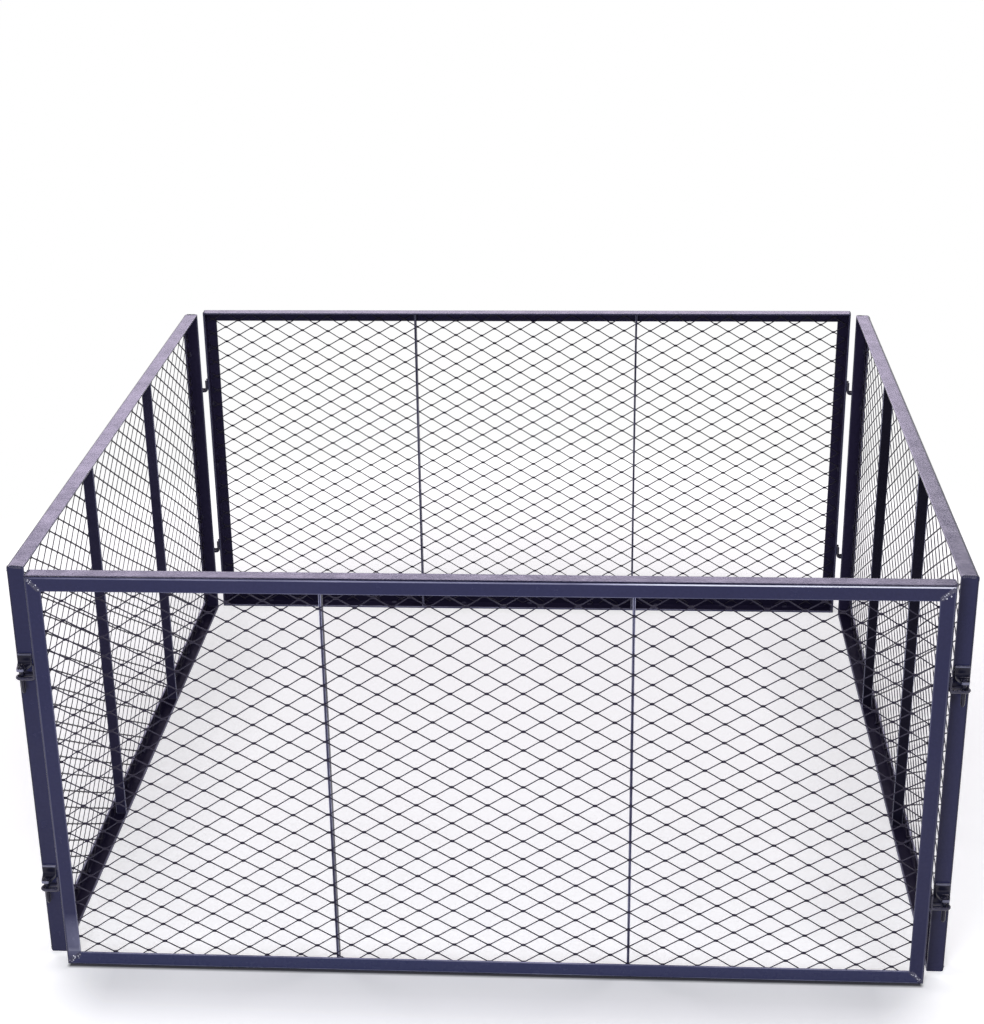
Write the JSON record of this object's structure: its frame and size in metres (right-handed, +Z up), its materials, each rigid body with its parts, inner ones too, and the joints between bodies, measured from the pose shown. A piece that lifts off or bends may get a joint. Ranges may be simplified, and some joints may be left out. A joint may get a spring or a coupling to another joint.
{
  "type": "compost bin",
  "caption": "Square open-topped garden compost bin of painted angle-iron frames filled with expanded metal, hooked together at the corners.",
  "frame": {"origin": "on the ground in the middle of the bin", "axes": "+Z up, +X to the right as seen from the front; the front panel's outer face looks along -Y"},
  "size_m": [1.054, 1.054, 0.5],
  "materials": {
    "frame_paint": "semi-gloss slate-navy paint",
    "bar_paint": "semi-gloss slate-navy paint",
    "mesh_paint": "semi-gloss slate-navy paint on expanded metal",
    "hardware_paint": "semi-gloss slate-navy paint over welded rod and strip"
  },
  "bodies": {
    "front_panel": {"front_left_post": "frame_paint", "front_top_rail": "frame_paint", "front_right_post": "frame_paint", "front_bottom_rail": "frame_paint", "front_bar_1": "bar_paint", "front_bar_2": "bar_paint", "front_mesh": "mesh_paint", "front_left_lower_eye": "hardware_paint", "front_left_upper_eye": "hardware_paint", "front_right_lower_eye": "hardware_paint", "front_right_upper_eye": "hardware_paint"},
    "left_panel": {"left_back_post": "frame_paint", "left_top_rail": "frame_paint", "left_front_post": "frame_paint", "left_bottom_rail": "frame_paint", "left_bar_1": "bar_paint", "left_bar_2": "bar_paint", "left_mesh": "mesh_paint", "left_back_lower_bracket": "hardware_paint", "left_back_lower_pin": "hardware_paint", "left_back_upper_bracket": "hardware_paint", "left_back_upper_pin": "hardware_paint", "left_front_lower_bracket": "hardware_paint", "left_front_lower_pin": "hardware_paint", "left_front_upper_bracket": "hardware_paint", "left_front_upper_pin": "hardware_paint"},
    "back_panel": {"back_right_post": "frame_paint", "back_top_rail": "frame_paint", "back_left_post": "frame_paint", "back_bottom_rail": "frame_paint", "back_bar_1": "bar_paint", "back_bar_2": "bar_paint", "back_mesh": "mesh_paint", "back_right_lower_eye": "hardware_paint", "back_right_upper_eye": "hardware_paint", "back_left_lower_eye": "hardware_paint", "back_left_upper_eye": "hardware_paint"},
    "right_panel": {"right_front_post": "frame_paint", "right_top_rail": "frame_paint", "right_back_post": "frame_paint", "right_bottom_rail": "frame_paint", "right_bar_1": "bar_paint", "right_bar_2": "bar_paint", "right_mesh": "mesh_paint", "right_front_lower_bracket": "hardware_paint", "right_front_upper_bracket": "hardware_paint", "right_back_lower_bracket": "hardware_paint", "right_back_lower_pin": "hardware_paint", "right_back_upper_bracket": "hardware_paint", "right_back_upper_pin": "hardware_paint"},
    "right_hook_pins": {"right_front_lower_pin": "hardware_paint", "right_front_upper_pin": "hardware_paint"}
  },
  "joints": [
    {"name": "left_swing", "type": "hinge", "parent": "front_panel", "child": "left_panel", "pos_m": [-0.518, -0.5135, 0], "axis": [0, 0, 1], "range_deg": [-25, 25]},
    {"name": "back_swing", "type": "hinge", "parent": "left_panel", "child": "back_panel", "pos_m": [-0.518, 0.5135, 0], "axis": [0, 0, 1], "range_deg": [-25, 25]},
    {"name": "right_lift", "type": "slide", "parent": "front_panel", "child": "right_hook_pins", "axis": [0, 0, 1], "range_m": [0, 0.12]},
    {"name": "right_swing", "type": "hinge", "parent": "right_hook_pins", "child": "right_panel", "pos_m": [0.518, -0.5135, 0], "axis": [0, 0, 1], "range_deg": [-25, 25]}
  ],
  "couplings": [
    {"joint": "back_swing", "follows": "left_swing", "ratio": -1},
    {"joint": "right_swing", "follows": "left_swing", "ratio": 1}
  ]
}
